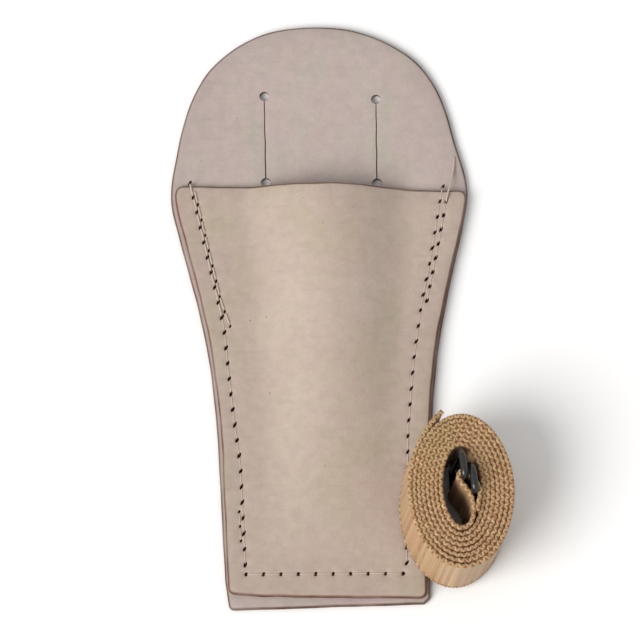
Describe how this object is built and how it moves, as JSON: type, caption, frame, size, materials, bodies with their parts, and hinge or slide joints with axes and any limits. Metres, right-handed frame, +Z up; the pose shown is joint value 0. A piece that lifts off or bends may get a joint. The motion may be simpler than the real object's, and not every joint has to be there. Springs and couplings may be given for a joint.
{
  "type": "leather tool sheath with belt",
  "caption": "Flat stitched leather belt sheath for a garden knife, round flap with belt slits, beside a rolled web belt with wire rings.",
  "frame": {"origin": "on the sheath's centre line, half way between its foot and the top of its flap, on the back face that lies on the table", "axes": "+X across the sheath towards the belt roll, +Y along the sheath towards its round flap, +Z up out of the pocket's front"},
  "size_m": [0.1526, 0.2696, 0.0463],
  "materials": {
    "back_leather": "undyed vegetable-tanned leather, matt",
    "front_leather": "undyed vegetable-tanned leather, matt, slightly yellower",
    "seam_thread": "pale waxed thread",
    "webbing": "khaki woven nylon webbing",
    "belt_thread": "tan sewing thread",
    "ring_metal": "glossy black coated steel wire"
  },
  "bodies": {
    "sheath": {"back_panel": "back_leather", "front_panel": "front_leather", "needle_thread_left": "seam_thread", "bobbin_thread_left": "seam_thread", "needle_thread_right": "seam_thread", "bobbin_thread_right": "seam_thread", "needle_thread_bottom": "seam_thread", "bobbin_thread_bottom": "seam_thread", "thread_tail": "seam_thread"},
    "belt_roll": {"belt_webbing": "webbing", "belt_loop_stitching": "belt_thread"},
    "inner_ring": {"d_ring_inner": "ring_metal"},
    "outer_ring": {"d_ring_outer": "ring_metal"}
  },
  "joints": [
    {"name": "belt_roll_lift", "type": "slide", "parent": "sheath", "child": "belt_roll", "axis": [0, 0, 1], "range_m": [0, 0.12]},
    {"name": "inner_ring_swing", "type": "hinge", "parent": "belt_roll", "child": "inner_ring", "pos_m": [0.06095, -0.0866, 0.02369], "axis": [0.1495, 0, 0.9888], "range_deg": [0, 9]},
    {"name": "outer_ring_swing", "type": "hinge", "parent": "belt_roll", "child": "outer_ring", "pos_m": [0.0654, -0.0929, 0.02302], "axis": [0.1495, 0, 0.9888], "range_deg": [-3, 0]}
  ]
}
